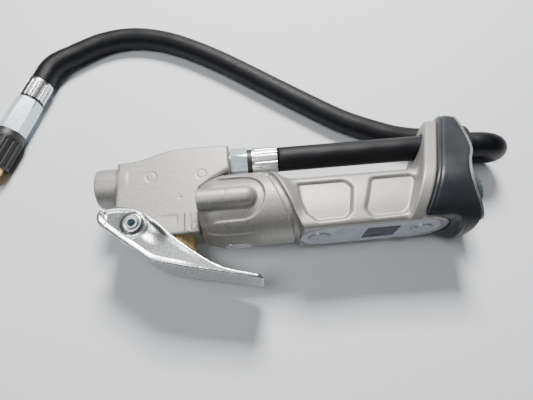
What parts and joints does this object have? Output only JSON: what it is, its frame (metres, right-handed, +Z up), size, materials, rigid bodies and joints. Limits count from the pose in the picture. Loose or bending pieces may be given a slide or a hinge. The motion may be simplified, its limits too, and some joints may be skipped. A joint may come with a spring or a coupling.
{
  "type": "tyre inflator",
  "caption": "Handheld air-line tyre inflator lying on its side: cast valve head with lever, display handle with battery, rubber bumper, hose through an end loop, clip-on tyre connector.",
  "frame": {"origin": "on the floor under the middle of the rigid tool's box, the hose and its fittings left out", "axes": "+X from the air inlet to the battery cap, +Y towards the hose side, +Z up as the tool lies on its side"},
  "size_m": [0.3288, 0.2005, 0.049],
  "materials": {
    "cast_aluminium": "bead-blasted die casting",
    "zinc_plate": "glossy zinc plating",
    "steel_fitting": "zinc-plated steel",
    "bright_aluminium": "bright crimped aluminium",
    "brass": "turned",
    "black_rubber": "satin",
    "bumper_rubber": "satin charcoal",
    "hose_rubber": "wrapped, satin",
    "end_chrome": "polished",
    "cap_plastic": "matt",
    "silver_label": "gloss film",
    "button_grey": "gloss film",
    "lcd_glass": "gloss",
    "lens": "clear",
    "board_green": "solder mask",
    "cell_wrap": "plain shrink wrap",
    "spring_steel": "drawn wire",
    "filter_felt": "sintered felt"
  },
  "bodies": {
    "inflator": {"valve_body": "cast_aluminium", "inlet_filter": "filter_felt", "valve_cartridge": "brass", "cartridge_seal": "black_rubber", "stem_seal": "black_rubber", "valve_spring": "spring_steel", "head_screws": "steel_fitting", "sensor_seal": "black_rubber", "pressure_sensor": "steel_fitting", "handle": "cast_aluminium", "badge_plate": "bright_aluminium", "end_bumper": "bumper_rubber", "end_plate": "end_chrome", "end_plate_screws": "steel_fitting", "circuit_board": "board_green", "lcd": "lcd_glass", "display_lens": "lens", "display_panel": "silver_label", "panel_gasket": "black_rubber", "battery_contact": "brass", "battery": "cell_wrap", "cap_spring": "spring_steel", "outlet_adaptor": "steel_fitting", "outlet_nut": "steel_fitting", "nut_ring": "black_rubber", "hose_ferrule": "bright_aluminium", "hose_tail": "brass", "hose": "hose_rubber", "hose_grommet": "black_rubber", "end_ferrule": "bright_aluminium", "end_ring": "black_rubber", "end_nut": "steel_fitting", "end_tail": "brass", "connector_body": "brass", "connector_grip": "black_rubber", "connector_seal": "black_rubber", "connector_pin": "steel_fitting", "clip_pin": "steel_fitting"},
    "lever": {"lever": "zinc_plate", "lever_pin": "steel_fitting"},
    "stem": {"valve_stem": "steel_fitting"},
    "power": {"power_button": "button_grey"},
    "mode": {"mode_button": "button_grey"},
    "cap_slider": {"cap_seal": "black_rubber"},
    "cap": {"battery_cap": "cap_plastic"},
    "clip": {"connector_clip": "zinc_plate"}
  },
  "joints": [
    {"name": "lever_hinge", "type": "hinge", "parent": "inflator", "child": "lever", "pos_m": [-0.08205, -0.0116, 0.0245], "axis": [0, 0, 1], "range_deg": [0, 8.5], "stiffness_Nm_per_rad": 0.6, "springref_deg": -20.05},
    {"name": "stem_slide", "type": "slide", "parent": "inflator", "child": "stem", "axis": [0, 1, 0], "range_m": [0, 0.0044], "deforming": ["valve_spring"]},
    {"name": "power_press", "type": "slide", "parent": "inflator", "child": "power", "axis": [0, 1, 0], "range_m": [0, 0.0008], "stiffness_N_per_m": 1500},
    {"name": "mode_press", "type": "slide", "parent": "inflator", "child": "mode", "axis": [0, 1, 0], "range_m": [0, 0.0008], "stiffness_N_per_m": 1500},
    {"name": "cap_travel", "type": "slide", "parent": "inflator", "child": "cap_slider", "axis": [1, 0, 0], "range_m": [0, 0.0105]},
    {"name": "cap_turn", "type": "hinge", "parent": "cap_slider", "child": "cap", "pos_m": [0.10225, -0.0039, 0.0245], "axis": [-1, 0, 0], "range_deg": [0, 2520]},
    {"name": "clip_hinge", "type": "hinge", "parent": "inflator", "child": "clip", "pos_m": [-0.18319, 0.04282, 0.0197], "axis": [0.9397, -0.342, 0], "range_deg": [0, 12], "stiffness_Nm_per_rad": 0.05}
  ],
  "couplings": [
    {"joint": "stem_slide", "follows": "lever_hinge", "m_per_rad": 0.0285},
    {"joint": "cap_turn", "follows": "cap_travel", "rad_per_m": 4188.7}
  ]
}
